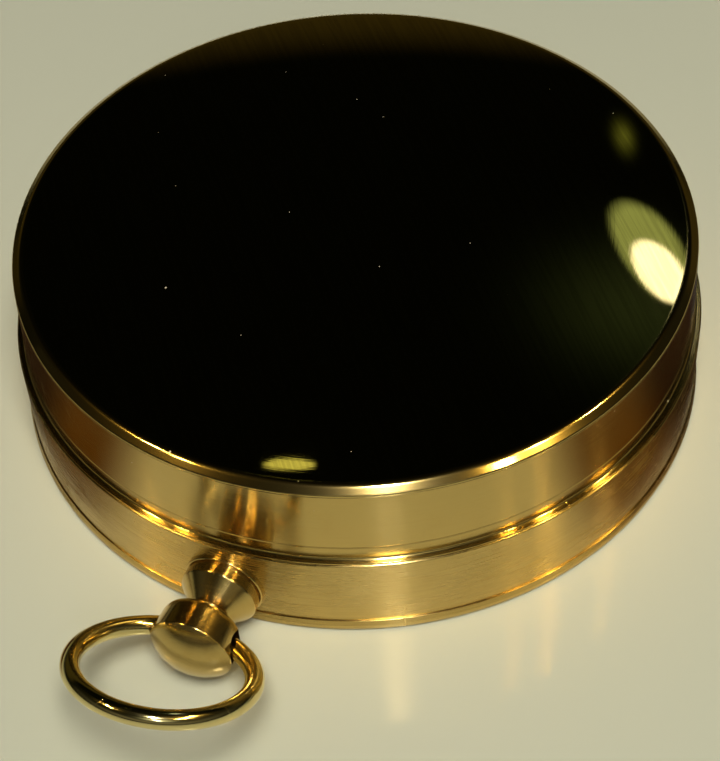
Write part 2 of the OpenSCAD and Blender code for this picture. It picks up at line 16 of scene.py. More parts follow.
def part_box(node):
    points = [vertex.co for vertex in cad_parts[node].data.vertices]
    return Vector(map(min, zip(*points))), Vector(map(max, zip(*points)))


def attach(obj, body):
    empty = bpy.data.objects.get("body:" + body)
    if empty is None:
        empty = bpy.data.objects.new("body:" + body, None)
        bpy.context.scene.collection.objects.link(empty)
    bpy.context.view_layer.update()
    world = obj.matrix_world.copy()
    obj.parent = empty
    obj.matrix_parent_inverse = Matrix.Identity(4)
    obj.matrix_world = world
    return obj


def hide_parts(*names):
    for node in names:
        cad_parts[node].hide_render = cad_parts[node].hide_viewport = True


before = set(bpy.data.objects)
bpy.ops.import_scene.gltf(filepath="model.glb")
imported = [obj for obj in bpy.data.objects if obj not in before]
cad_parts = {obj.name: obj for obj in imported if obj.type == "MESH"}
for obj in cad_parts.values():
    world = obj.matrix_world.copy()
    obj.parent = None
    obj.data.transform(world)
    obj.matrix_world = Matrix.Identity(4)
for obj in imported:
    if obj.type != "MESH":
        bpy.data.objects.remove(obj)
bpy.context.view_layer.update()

# %% [markdown]
# ## The camera
#
# The rims of the round case and lid, front and rear, tell where a photograph's camera stood, where
# it looked and how long its lens was. It looks down at the compass from the front, a little from
# the right of the crown, and close, so the near side looks larger. The small turns at the end put
# the middle of the case on its own pixel in the picture.

# %% Set up the camera
MM = 0.001
camera_distance = 147.1
camera_azimuth = -66.3
camera_elevation = 47.8
camera_roll = radians(3.52)
picture_w = 720
picture_h = 761
focal_px = 1929
sensor_mm = 36
case_px_x = 361.5
case_px_y = 354.7
case_aside = case_px_x - picture_w / 2


def towards(azimuth, elevation=0.0):
    """The direction of an azimuth and an elevation given in degrees."""
    turn, rise = radians(azimuth), radians(elevation)
    return Vector((cos(rise) * cos(turn), cos(rise) * sin(turn), sin(rise)))


back = towards(camera_azimuth, camera_elevation)
right = towards(camera_azimuth + 90)
look = Matrix((right, back.cross(right), back)).transposed()
yaw = atan2(case_aside, focal_px)
pitch = atan2(picture_h / 2 - case_px_y, hypot(focal_px, case_aside))
aim = look @ Matrix.Rotation(-camera_roll, 3, "Z") @ Matrix.Rotation(-pitch, 3, "X")
aim = aim @ Matrix.Rotation(yaw, 3, "Y")

camera = bpy.data.objects.new("camera", bpy.data.cameras.new("camera"))
bpy.context.collection.objects.link(camera)
camera.data.sensor_width = sensor_mm
camera.data.lens = focal_px / max(picture_w, picture_h) * sensor_mm
camera.data.clip_start = 5 * MM
camera.matrix_world = Matrix.Translation(back * camera_distance * MM) @ aim.to_4x4()
bpy.context.scene.camera = camera
bpy.context.scene.view_settings.view_transform = "Standard"
print("lens in mm:", round(camera.data.lens, 2))

# %% [markdown]
# ## Short ways to fill a node tree
#
# Materials, the world and Geometry Nodes are all node trees. A small class adds a node with its
# settings, links a socket or sets its value, and does arithmetic on sockets. Numbers that are the
# same all over a surface go straight to the shader's own sockets.

# %% Node tree helper
class Bench:
    """A node tree, emptied, with short ways to add nodes and to calculate with sockets."""

    def __init__(self, tree):
        self.tree = tree
        tree.nodes.clear()

    def add(self, kind, feeds=None, **settings):
        node = self.tree.nodes.new(kind)
        for name, value in settings.items():
            setattr(node, name, value)
        for socket, value in (feeds or {}).items():
            self.feed(node.inputs[socket], value)
        return node

    def feed(self, socket, value):
        if isinstance(value, bpy.types.NodeSocket):
            self.tree.links.new(value, socket)
        else:
            socket.default_value = value

    def fill(self, node, values, sockets=(0, 1, 2)):
        for socket, value in zip(sockets, values):
            self.feed(node.inputs[socket], value)
        return node.outputs

    def calc(self, operation, *values):
        return self.fill(self.add("ShaderNodeMath", operation=operation), values)[0]

    def vector(self, operation, *values):
        return self.fill(self.add("ShaderNodeVectorMath", operation=operation), values)["Vector"]

    def measured(self, operation, *values):
        return self.fill(self.add("ShaderNodeVectorMath", operation=operation), values)["Value"]

    def scaled(self, vector, factor):
        feeds = {"Vector": vector, "Scale": factor}
        return self.add("ShaderNodeVectorMath", feeds, operation="SCALE").outputs["Vector"]

    def spun(self, vector, axis, angle):
        feeds = {"Vector": vector, "Axis": axis, "Angle": radians(angle)}
        return self.add("ShaderNodeVectorRotate", feeds).outputs[0]

    def joined(self, x, y, z):
        return self.add("ShaderNodeCombineXYZ", {"X": x, "Y": y, "Z": z}).outputs[0]

    def parts(self, vector):
        return self.add("ShaderNodeSeparateXYZ", {"Vector": vector}).outputs

    def span(self, value, low, high, out_low=0.0, out_high=1.0, kind="LINEAR"):
        feeds = {
            "Value": value, "From Min": low, "From Max": high, "To Min": out_low, "To Max": out_high,
        }
        return self.add("ShaderNodeMapRange", feeds, interpolation_type=kind).outputs[0]

    def soft(self, value, low, high, out_low=0.0, out_high=1.0):
        return self.span(value, low, high, out_low, out_high, "SMOOTHSTEP")

    def mixed(self, amount, low, high, how="MIX"):
        node = self.add("ShaderNodeMix", data_type="RGBA", blend_type=how)
        return self.fill(node, (amount, low, high), (0, 6, 7))[2]

    def faded(self, amount, low, high):
        node = self.add("ShaderNodeMix", data_type="FLOAT")
        return self.fill(node, (amount, low, high), (0, 2, 3))[0]

    def noise(self, vector, scale, detail=2.0, roughness=0.5, **settings):
        feeds = {"Vector": vector, "Scale": scale, "Detail": detail, "Roughness": roughness}
        return self.add("ShaderNodeTexNoise", feeds, **settings).outputs[0]

    def raised(self, height, depth_mm, below=None):
        feeds = {"Height": height, "Distance": depth_mm * MM, "Strength": 1.0}
        if below is not None:
            feeds["Normal"] = below
        return self.add("ShaderNodeBump", feeds).outputs[0]


def tone(red, green, blue):
    return (red, green, blue, 1.0)


def new_material(name):
    """A material and the bench for its empty node tree."""
    material = bpy.data.materials.new(name)
    material.use_nodes = True
    return material, Bench(material.node_tree)


def principled(bench, feeds, **constants):
    """A Principled shader, with its constant numbers on its own sockets."""
    shader = bench.add("ShaderNodeBsdfPrincipled", feeds)
    for name, value in constants.items():
        shader.inputs[name.replace("_", " ").title().replace("Ior", "IOR")].default_value = value
    return shader


def shown(bench, shader):
    """Wire a shader to the material's output."""
    bench.add("ShaderNodeOutputMaterial", {"Surface": shader.outputs[0]})


def coated(bench, colour, grain, gloss, depth=0.0, **constants):
    """A coat of one colour; its roughness, between two numbers, and its relief follow one grain."""
    feeds = {"Base Color": colour, "Roughness": bench.span(grain, 0.3, 0.7, gloss[0], gloss[1])}
    if depth:
        feeds["Normal"] = bench.raised(grain, depth)
    shown(bench, principled(bench, feeds, **constants))


# %% [markdown]
# ## The table and the light
#
# The compass stands on a pale glazed tile. Metal near a table shows the table more than it shows
# the lamps, so the brass walls are as bright as the tile in front of them. On the left and right
# the lid's wall mirrors dark brown. This is a painted reflection: the tile is painted brown there
# for glossy rays only, and the camera sees it pale.
#
# The white lamp high in front is two lamps in one place: a small one that only mirrors show, for
# crisp highlights, and a large one for the plain light, for soft shadows. Small amber lamps left
# and right only draw glints, so they are kept out of the plain light. No lamp shows through the
# compass's glass, whose material lets the light of lamps through by itself. The room is dark all
# round, which is why the polished lid looks black from here: a lid like this one shows only what
# stands behind it, such as the window at its right.

# %% Lay the glazed table
def made_object(name, mesh):
    """Turn a bmesh into an object that stands at the origin."""
    data = bpy.data.meshes.new(name)
    mesh.to_mesh(data)
    mesh.free()
    made = bpy.data.objects.new(name, data)
    bpy.context.collection.objects.link(made)
    return made


table_r = 3.0
disc = bmesh.new()
bmesh.ops.create_circle(disc, cap_ends=True, segments=128, radius=table_r)
table = made_object("table", disc)

glaze, bench = new_material("pale_glaze")
place = bench.add("ShaderNodeTexCoord").outputs["Object"]
cloud = bench.noise(place, 22.0, 2.0)
body = bench.mixed(bench.span(cloud, 0.3, 0.7), tone(0.575, 0.59, 0.465), tone(0.595, 0.608, 0.48))
way = bench.vector("NORMALIZE", place)


def sector(middle, half, soft):
    """Mask of the table's points within so many degrees of an azimuth, with soft borders."""
    facing = bench.measured("DOT_PRODUCT", way, towards(middle))
    return bench.soft(facing, cos(radians(half + soft)), cos(radians(half - soft)))


tint_middle = (-0.5 * MM, -0.2 * MM, 0.0)
tint_start = 25.6 * MM
tint_full = 26.8 * MM
tint_fade = 36 * MM
tint_end = 46 * MM
from_middle = bench.measured("DISTANCE", place, tint_middle)
beyond = bench.soft(from_middle, tint_start, tint_full)
within = bench.soft(from_middle, tint_end, tint_fade)
# Painted reflection: in a band round the case on its left and right, the tile is painted brown and
# near black for glossy rays only, so mirrors show it dark while the camera sees it pale.
mirrored = bench.add("ShaderNodeLightPath").outputs["Is Glossy Ray"]
painted_reflection_area = bench.calc("MULTIPLY", bench.calc("MULTIPLY", beyond, within), mirrored)
painted_brown_reflection_sides = bench.calc("MAXIMUM", sector(210, 29, 9), sector(8, 32, 9))
painted_dark_reflection_sides = bench.calc("MAXIMUM", sector(198, 17, 9), sector(20, 19, 9))
body = bench.mixed(bench.calc("MULTIPLY", painted_brown_reflection_sides, painted_reflection_area), body, tone(0.11, 0.048, 0.006))
body = bench.mixed(bench.calc("MULTIPLY", painted_dark_reflection_sides, painted_reflection_area), body, tone(0.02, 0.008, 0.004))
ripple = bench.raised(bench.noise(place, 90.0, 2.0), 0.02)
feeds = {"Base Color": body, "Normal": ripple}
shown(bench, principled(bench, feeds, roughness=0.10, specular_ior_level=0.25))
table.data.materials.append(glaze)
print("table laid, radius in m:", table_r)

# %% Hang the lamps
def hang_lamp(name, azimuth, elevation, distance, size, power, colour):
    """A square soft lamp that looks at the compass from a direction given in degrees."""
    lamp = bpy.data.lights.new(name, "AREA")
    lamp.size = size
    lamp.energy = power
    lamp.color = colour
    there = towards(azimuth, elevation)
    hung = bpy.data.objects.new(name, lamp)
    facing = there.to_track_quat("Z", "Y").to_matrix().to_4x4()
    hung.matrix_world = Matrix.Translation(there * distance) @ facing
    hung.visible_transmission = False
    bpy.context.collection.objects.link(hung)
    return hung


warm_white = (1.0, 0.945, 0.83)
amber = (1.0, 0.70, 0.22)
white_lamp = {"azimuth": 301, "elevation": 66, "distance": 0.6, "power": 3.1, "colour": warm_white}
key = hang_lamp("key_lamp", size=0.040, **white_lamp)
key.visible_diffuse = False
soft = hang_lamp("soft_lamp", size=0.22, **white_lamp)
soft.visible_glossy = False
for side, azimuth, power in (
    ("left", 207, 2.2), ("left_near", 221, 1.0), ("right_near", 344, 1.0), ("right", 359, 2.8),
    ("far_right", 28, 1.6),
):
    glint = hang_lamp(side + "_lamp", azimuth, 55, 0.8, 0.03, power, amber)
    glint.visible_diffuse = False

# %% Paint the room
world = bpy.data.worlds.new("room")
bpy.context.scene.world = world
world.use_nodes = True
bench = Bench(world.node_tree)
heading = bench.parts(bench.add("ShaderNodeTexCoord").outputs["Generated"])
azimuth = bench.calc("DEGREES", bench.calc("ARCTAN2", heading["Y"], heading["X"]))
elevation = bench.calc("DEGREES", bench.calc("ARCSINE", heading["Z"]))

horizon_tone = tone(0.52, 0.49, 0.36)
room_tone = tone(0.006, 0.0065, 0.003)


def oval(middle, half, lean=0.0, tilt=0.0):
    """How far a direction lies from a middle, where one is the edge of a leaning oval in the sky."""
    up = bench.calc("SUBTRACT", elevation, middle[1])
    beside = bench.calc("SUBTRACT", azimuth, middle[0])
    across = bench.calc("DIVIDE", bench.calc("MULTIPLY_ADD", up, lean, beside), half[0])
    along = bench.calc("DIVIDE", bench.calc("MULTIPLY_ADD", beside, tilt, up), half[1])
    return bench.calc("ADD", bench.calc("POWER", across, 2.0), bench.calc("POWER", along, 2.0))


def patch(sky, middle, half, colour, edge, **leaning):
    """An evenly bright oval with a soft edge, laid over the sky."""
    far = oval(middle, half, **leaning)
    return bench.mixed(bench.soft(far, 1.0 + edge, 1.0 - edge), sky, tone(*colour))


def glow(sky, middle, half, colour, **leaning):
    """Light that is brightest in its middle and dies away outwards, laid over the sky."""
    fading = bench.calc("EXPONENT", bench.calc("MULTIPLY", oval(middle, half, **leaning), -1.0))
    return bench.mixed(fading, sky, tone(*colour), "ADD")


seen = bench.add("ShaderNodeLightPath").outputs["Is Camera Ray"]
rising = bench.soft(elevation, 4.0, 14.0)
sky = patch(room_tone, (111, 58), (62, 44), (0.0014, 0.0018, 0.0006), 0.35)
sky = patch(sky, (106, 14), (60, 13), (0.040, 0.032, 0.008), 0.4)
sky = glow(sky, (-60, 44), (18, 9), (1.1, 1.12, 0.9))
sky = patch(sky, (-61, 43.5), (5.5, 8), (6.0, 6.2, 7.0), 0.6)
sky = glow(sky, (-66, 17), (70, 12), (0.17, 0.16, 0.12))
sky = glow(sky, (-45, 52), (42, 15), (0.035, 0.035, 0.02))
sky = glow(sky, (88, 48.3), (7.5, 4.6), (0.022, 0.036, 0.020), lean=-0.2)
sky = patch(sky, (89.8, 43.6), (3.0, 3.4), (0.42, 0.58, 0.30), 0.35, lean=0.75)
sky = patch(sky, (88.4, 45.0), (2.3, 2.1), (3.2, 3.5, 4.2), 0.3, lean=0.75)
sky = patch(sky, (124.1, 62.9), (3.2, 0.42), (0.95, 1.05, 0.36), 0.35, tilt=0.134)
sky = glow(sky, (95.0, 34.5), (0.6, 1.2), (0.13, 0.17, 0.04), lean=0.35)
sky = bench.mixed(bench.calc("MULTIPLY", seen, bench.calc("SUBTRACT", 1.0, rising)), sky, horizon_tone)
room = bench.add("ShaderNodeBackground", {"Color": sky, "Strength": 1.0})
bench.add("ShaderNodeOutputWorld", {"Surface": room.outputs[0]})
print("room painted")

# %% [markdown]
# ## Turned shapes
#
# Almost every piece of this compass comes off a lathe, and a lathe's work is an outline swept
# round an axis. The outline is drawn as corners with small rounds, because no real edge is sharp,
# and the fine light line along an edge makes metal look real. Next to each round the outline gets
# an extra point, so smooth shading leaves the flats flat.

# %% Outline and lathe helpers
guard_share = 0.4
whole_turn = 256
edge = 0.03
HERE = Matrix.Identity(4)


def at(middle, turn=0.0, axis="Z"):
    """A place in mm, turned about one of its own axes."""
    return Matrix.Translation(Vector(middle) * MM) @ Matrix.Rotation(turn, 4, axis)


def rounded(corners, steps=4):
    """An outline of (radius, height) points from (radius, height, rounding) corners."""
    outline = []
    for index, (radius, height, rounding) in enumerate(corners):
        here = Vector((radius, height))
        if not rounding:
            outline.append(here)
            continue
        before = (Vector(corners[index - 1][:2]) - here).normalized()
        after = (Vector(corners[(index + 1) % len(corners)][:2]) - here).normalized()
        half = before.angle(after) / 2
        reach = rounding / tan(half)
        first = here + before * reach
        middle = here + (before + after).normalized() * (rounding / sin(half))
        swing = (pi - 2 * half) / steps
        if before.cross(after) > 0:
            swing = -swing
        outline.append(first + before * reach * guard_share)
        for step in range(steps + 1):
            outline.append(middle + Matrix.Rotation(swing * step, 2) @ (first - middle))
        outline.append(here + after * reach * (1 + guard_share))
    return outline


def arc(middle, radius, start, end, steps):
    """Points of an arc in the outline's plane, with angles in degrees from the outward side."""
    points = []
    for step in range(steps + 1):
        angle = radians(start + (end - start) * step / steps)
        points.append((middle[0] + radius * cos(angle), middle[1] + radius * sin(angle), 0))
    return points


def swept(outline, place, turn):
    """A mesh swept from an outline in mm round the Z axis of a place."""
    mesh = bmesh.new()
    rings = []
    for point in outline:
        radius, height = point[0] * MM, point[1] * MM
        if radius < 1e-9:
            rings.append([mesh.verts.new(place @ Vector((0, 0, height)))])
            continue
        angles = [2 * pi * step / turn for step in range(turn)]
        rings.append([
            mesh.verts.new(place @ Vector((radius * cos(a), radius * sin(a), height))) for a in angles
        ])
    for here, there in zip(rings, rings[1:] + rings[:1]):
        for step in range(turn):
            after = (step + 1) % turn
            corners = [here[step % len(here)], here[after % len(here)]]
            corners += [there[after % len(there)], there[step % len(there)]]
            corners = list(dict.fromkeys(corners))
            if len(corners) > 2:
                mesh.faces.new(corners)
    return mesh


def smoothed(made, crease=32):
    """Smooth shading with creases where faces meet at more than an angle."""
    made.data.shade_smooth()
    made.data.set_sharp_from_angle(angle=radians(crease))
    return made


def turned(name, outline, place=HERE, turn=whole_turn):
    """A turned piece as an object, its faces pointing outwards."""
    mesh = swept(outline, place, turn)
    bmesh.ops.recalc_face_normals(mesh, faces=mesh.faces)
    return smoothed(made_object(name, mesh))


def put(made, material, body, *nodes):
    """Give a piece its finish, let it ride on its body and stand for its CAD nodes."""
    made.data.materials.clear()
    made.data.materials.append(material)
    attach(made, body)
    if nodes:
        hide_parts(*nodes)
    print(made.name, "on", body, "faces:", len(made.data.polygons))


def lathed(name, corners, material, body, node, place=HERE, turn=whole_turn):
    """Turn a piece from its corners and put it in place."""
    put(turned(name, rounded(corners), place, turn), material, body, node)


# %% [markdown]
# ## Cutting and dressing
#
# Bores and slots are cut from a turned piece with Booleans, as a milling cutter would. The few
# pieces that are bent or milled are dressed instead: the CAD piece is copied, its loose triangles
# are merged into whole faces, and a small bevel breaks its edges.

# %% Cutters and dressed copies
def final_mesh(made):
    """The mesh that an object has after its modifiers, or that a text is drawn as."""
    return bpy.data.meshes.new_from_object(made.evaluated_get(bpy.context.evaluated_depsgraph_get()))


def settled(made):
    """Apply all modifiers of an object for good."""
    mesh = final_mesh(made)
    made.modifiers.clear()
    made.data = mesh
    return smoothed(made)


def block(low, high, place=HERE):
    """A box between two corners in mm, as a cutter."""
    mesh = bmesh.new()
    bmesh.ops.create_cube(mesh, size=1.0)
    size = Vector(high) - Vector(low)
    middle = (Vector(high) + Vector(low)) / 2
    there = place @ at(middle) @ Matrix.Diagonal(size * MM).to_4x4()
    bmesh.ops.transform(mesh, verts=mesh.verts, matrix=there)
    return made_object("cutter", mesh)


def rod(radius, low, high, place=HERE, turn=96):
    """A cylinder in mm along the Z axis of a place, as a cutter."""
    return turned("cutter", [(0, low), (radius, low), (radius, high), (0, high)], place, turn)


def cut(made, *cutters):
    """Cut pieces out of another for good, and throw the cutters away."""
    for cutter in cutters:
        step = made.modifiers.new("cut", "BOOLEAN")
        step.object = cutter
        step.operation = "DIFFERENCE"
        step.solver = "EXACT"
    settled(made)
    for cutter in cutters:
        bpy.data.objects.remove(cutter)
    return made


def dressed(name, node, width=0.05):
    """A copy of a CAD piece with whole faces and its edges broken by a small bevel."""
    mesh = bmesh.new()
    mesh.from_mesh(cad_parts[node].data)
    bmesh.ops.remove_doubles(mesh, verts=mesh.verts, dist=1e-7)
    bmesh.ops.dissolve_limit(mesh, angle_limit=radians(0.5), verts=mesh.verts, edges=mesh.edges)
    made = made_object(name, mesh)
    breaker = made.modifiers.new("broken_edges", "BEVEL")
    breaker.width = width * MM
    breaker.segments = 2
    breaker.limit_method = "ANGLE"
    breaker.angle_limit = radians(35)
    return settled(made)


def cad_corners(node):
    """Lowest and highest corner of a CAD piece in mm."""
    low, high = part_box(node)
    return low / MM, high / MM


# %% [markdown]
# ## Metal, as it comes off the lathe and the buff
#
# Brass is one metal with many finishes. Turning leaves rings round the axis, which draw a lamp
# out into a streak across them. Buffing wipes them almost away and leaves hairlines. So one recipe
# makes them all: it measures each point's distance from the piece's axis and its height along it,
# lays rings of noise on the two, adds broken streaks, a few scratches, faint tarnish and dust, and
# each finish only sets how strong these are. The shader's tangent lies across the rings. The lid's
# mirror also has the buff's hairlines, which all lie one way, and a slightly coarser bevel. Steel
# is the same recipe in grey.

# %% The metal recipe
AXES = {"X": (1, 0, 0), "Y": (0, 1, 0), "Z": (0, 0, 1)}
brass_tone = tone(0.57, 0.418, 0.15)
tarnish_tone = tone(0.42, 0.27, 0.075)
steel_tone = tone(0.56, 0.57, 0.58)
grime_tone = tone(0.33, 0.30, 0.26)
dust_tone = tone(0.55, 0.52, 0.45)


def place_in_mm(bench):
    """Where a point of a piece lies, in mm from the middle of the compass."""
    return bench.scaled(bench.add("ShaderNodeTexCoord").outputs["Object"], 1 / MM)


def round_place(bench, axis, middle):
    """Place in mm from a piece's middle, its part across the axis, and its radius and height."""
    place = bench.vector("SUBTRACT", place_in_mm(bench), middle)
    height = bench.measured("DOT_PRODUCT", place, AXES[axis])
    flat = bench.vector("SUBTRACT", place, bench.scaled(AXES[axis], height))
    radius = bench.measured("LENGTH", flat)
    return place, flat, radius, height


def across_rings(bench, axis, flat):
    """World direction that lies in the surface, across the turning rings."""
    ring_way = bench.vector("CROSS_PRODUCT", AXES[axis], flat)
    turned_way = bench.add("ShaderNodeVectorTransform", {"Vector": ring_way}, vector_type="VECTOR")
    turned_way.convert_from = "OBJECT"
    turned_way.convert_to = "WORLD"
    normal = bench.add("ShaderNodeNewGeometry").outputs["Normal"]
    return bench.vector("NORMALIZE", bench.vector("CROSS_PRODUCT", turned_way.outputs[0], normal))


def scratched(bench, place, lean, length, fineness, rarity):
    """A mask of sparse straight scratches that lean one way."""
    leaning = bench.spun(place, (0.3, 0.2, 1.0), lean)
    drawn = bench.vector("MULTIPLY", leaning, (1 / length, fineness, 1 / length))
    return bench.span(bench.noise(drawn, 1.0, 1.0), rarity, rarity + 0.03)


def specks(bench, place, spacing, size, share):
    """A mask of small round specks: one cell in so many holds one."""
    feeds = {"Vector": place, "Scale": 1 / spacing, "Randomness": 1.0}
    grid = bench.add("ShaderNodeTexVoronoi", feeds)
    chosen = bench.calc("GREATER_THAN", bench.parts(grid.outputs["Color"])["X"], 1 - share)
    near = bench.span(grid.outputs["Distance"], size / spacing, 0.5 * size / spacing)
    return bench.calc("MULTIPLY", near, chosen)


def metal(name, gloss, rings, streaks=0.0, stretch=0.0, axis="Z", middle=(0, 0, 0), scratch=0.0,
          tarnish=0.1, dust=0.0, base=brass_tone, stain=tarnish_tone, ring_density=6.0,
          coarse_from=None, buffed=None, slot="brass_polished"):
    """A turned metal; gloss is its lowest and highest roughness, depths and radii are in mm."""
    material, bench = new_material(name)
    place, flat, radius, height = round_place(bench, axis, middle)
    fine = bench.noise(
        bench.joined(radius, height, 0.0), ring_density, 3.0, 0.6, noise_dimensions="2D"
    )
    slide = bench.calc("MULTIPLY_ADD", radius, 17.0, bench.calc("MULTIPLY", height, 12.4))
    stretched = bench.vector("ADD", bench.scaled(flat, 0.22), bench.scaled(AXES[axis], slide))
    broken = bench.noise(stretched, 1.0, 2.0, 0.65)
    cloud = bench.noise(place, 0.16, 3.0, 0.6)
    stained = bench.noise(place, 0.45, 4.0, 0.62)
    colour = bench.mixed(bench.soft(stained, 0.52, 0.80, 0.0, tarnish), base, stain)
    streak_show = 0.25 * min(1.0, streaks * 400)
    colour = bench.mixed(bench.span(broken, 0.25, 0.75, 0.0, streak_show), colour, stain)
    uneven = bench.calc("MULTIPLY_ADD", bench.calc("SUBTRACT", broken, 0.5), 0.8, cloud)
    rough = bench.span(uneven, 0.3, 0.7, gloss[0], gloss[1])
    relief = bench.raised(fine, rings)
    if coarse_from:
        coarse = bench.span(radius, coarse_from, coarse_from + 0.05, 0.0, 0.10)
        rough = bench.calc("MAXIMUM", rough, coarse)
    if buffed is not None:
        along = bench.spun(place, (0, 0, 1), -buffed)
        hairs = bench.noise(bench.vector("MULTIPLY", along, (0.12, 3.4, 0.0)), 1.0, 2.0, 0.6)
        inside = bench.span(radius, coarse_from - 0.3, coarse_from, 0.26, 0.0)
        hairs = bench.calc("MULTIPLY", bench.span(hairs, 0.42, 0.60), inside)
        colour = bench.mixed(hairs, colour, grime_tone, "MULTIPLY")
    if streaks:
        relief = bench.raised(broken, streaks, relief)
    if scratch:
        worn = bench.calc(
            "ADD",
            scratched(bench, place, 24, 4.0, 5.0, 0.745),
            scratched(bench, place, -51, 3.0, 6.0, 0.755),
        )
        relief = bench.raised(bench.calc("MULTIPLY", worn, -1.0), scratch, relief)
        rough = bench.calc("MULTIPLY_ADD", worn, 0.08, rough)
    feeds = {"Roughness": rough, "Normal": relief, "Metallic": 1.0}
    if dust:
        motes = bench.calc(
            "MAXIMUM", specks(bench, place, 3.1, 0.09, dust), specks(bench, place, 1.3, 0.045, dust)
        )
        colour = bench.mixed(motes, colour, dust_tone)
        feeds["Roughness"] = bench.faded(motes, rough, 0.9)
        feeds["Metallic"] = bench.calc("SUBTRACT", 1.0, motes)
    feeds["Base Color"] = colour
    if stretch:
        feeds["Tangent"] = across_rings(bench, axis, flat)
    shown(bench, principled(bench, feeds, anisotropic=stretch))
    return material


def grey_metal(*settings, **more):
    """The same recipe for steel."""
    return metal(*settings, base=steel_tone, stain=grime_tone, slot="steel", **more)


mirror_brass = metal(
    "lid_mirror_brass", (0.012, 0.028), 0.0002, 0.0001, tarnish=0.06, dust=0.2, coarse_from=23.35,
    buffed=-52,
)
band_brass = metal(
    "band_polished_brass", (0.12, 0.17), 0.0012, 0.0015, 1.0, scratch=0.002, tarnish=0.25, dust=0.2
)
satin_brass = metal(
    "case_satin_brass", (0.17, 0.31), 0.004, 0.010, 1.0, scratch=0.003, tarnish=0.35, dust=0.1,
    ring_density=9.0, slot="brass_satin",
)
inner_brass = metal(
    "inner_brass", (0.18, 0.28), 0.003, 0.006, 0.5, tarnish=0.25, scratch=0.002, slot="brass_satin"
)
bezel_brass = metal("bezel_brass", (0.16, 0.24), 0.002, 0.003, 0.6, tarnish=0.15, scratch=0.002)
print("brass finishes made")

# %% [markdown]
# ## The lid
#
# The lid is two turned pieces, a band with a flared foot and a slightly domed top pressed into it,
# and a small keeper inside that the catch holds. Between the flat of the foot and the wall runs a
# hollow, the cove, which shows the dark room above as a black line all round, with a hairline
# groove just over it. The dome has a rounded bevel and is part of a very large sphere, drawn with
# many rings: a mirror shows every bend in a mesh.

# %% Turn the lid's band
band_low, band_high = cad_corners("lid_band")
foot_r = band_high.x
foot_z = band_low.z
seam_z = band_high.z
lid_r = 24.25
lid_in_r = 23.45
foot_top_z = foot_z + 0.12
wall_foot_r = 24.48
cove_r = 0.22
cove_middle = (wall_foot_r + cove_r, foot_top_z + cove_r)
line_z = foot_z + 1.15
line_w = 0.16
line_deep = 0.03


def wall_r(height):
    """Radius of the lid's wall, which grows a little towards its foot."""
    share = (height - cove_middle[1]) / (seam_z - cove_middle[1])
    return wall_foot_r + (lid_r - wall_foot_r) * share


band_outline = rounded(
    [(lid_in_r, foot_z, edge), (foot_r, foot_z, edge), (foot_r, foot_top_z, edge)]
    + [(wall_foot_r + cove_r + 0.06, foot_top_z, 0)]
    + arc(cove_middle, cove_r, -90, -180, 10)
    + [(wall_r(cove_middle[1] + 0.1), cove_middle[1] + 0.1, 0), (wall_r(line_z), line_z, 0.02)]
    + [(wall_r(line_z) - line_deep, line_z + line_w / 2, 0.02)]
    + [(wall_r(line_z + line_w), line_z + line_w, 0.02)]
    + [(lid_r, seam_z, 0.05), (lid_in_r, seam_z, edge)]
)
put(turned("lid_wall", band_outline), band_brass, "lid", "lid_band")

# %% Turn the lid's dome
dome_low, dome_high = cad_corners("lid_dome")
dome_r = 23.65
dome_lip = 0.1
dome_bevel = 0.45
bevel_step = 0.16
dome_edge_z = seam_z + dome_lip + dome_bevel
apex_z = dome_high.z
rise = apex_z - dome_edge_z
ball_r = (dome_r ** 2 + rise ** 2) / (2 * rise)
ball_z = apex_z - ball_r
plug_r = lid_in_r - 0.03
plug_in_r = plug_r - 0.7
dome_t = 0.8
dome_rings = 60


def sphere_stretch(ball_r, from_r, to_r, steps):
    """Outline points on the big sphere between two distances from the axis."""
    points = []
    for step in range(steps + 1):
        radius = from_r + (to_r - from_r) * step / steps
        points.append((radius, ball_z + sqrt(ball_r ** 2 - radius ** 2), 0))
    return points


dome_outline = rounded(
    [(plug_in_r, dome_low.z, edge), (plug_r, dome_low.z, edge), (plug_r, seam_z, 0)]
    + [(lid_r, seam_z, 0.04), (lid_r, seam_z + bevel_step, 0.14), (dome_r, dome_edge_z, 0.8)]
    + sphere_stretch(ball_r, dome_r - 0.5, 0, dome_rings)
    + sphere_stretch(ball_r - dome_t, 0, plug_in_r - 0.1, dome_rings // 2)
    + [(plug_in_r, ball_z + sqrt((ball_r - dome_t) ** 2 - plug_in_r ** 2), 0)],
    steps=6,
)
put(turned("lid_top", dome_outline), mirror_brass, "lid", "lid_dome")

# %% Dress the keeper inside the lid
put(dressed("keeper", "lid_keeper"), inner_brass, "lid", "lid_keeper")

# %% [markdown]
# ## The case and its back
#
# The case is a turned ring with a flange at its top. Its wall keeps the lathe's fine rings, so a
# lamp makes a streak up and down it. The back is a disc with a band that stands out a little from
# the wall. The pendant's bed and bore and the slot for the catch are cut out of the turned ring.

# %% Turn the case and cut its openings
case_low, case_high = cad_corners("case_body")
case_r = case_high.x
case_top = case_high.z
case_in_r = case_r - 1.6
opening_r = 20.65
flange_z = case_top - 1.2
crown_z = 3.4
flange_r = 2.8
bed_s = -0.2
crown_middle = (0, -case_r, crown_z)
OUT = at(crown_middle, pi / 2, "X")

case_outline = rounded([
    (case_in_r, case_low.z, edge), (case_r, case_low.z, edge), (case_r, case_top, 0.12),
    (opening_r, case_top, 0.05), (opening_r, flange_z, edge), (case_in_r, flange_z, 0.1),
])
case = cut(
    turned("case_wall", case_outline),
    rod(flange_r + 0.01, bed_s, 3, OUT),
    rod(1.56, -4, 3, OUT),
    block((-2.5, -23.0, case_top - 2), (2.5, -21.6, case_top + 1)),
)
put(case, satin_brass, "case", "case_body")

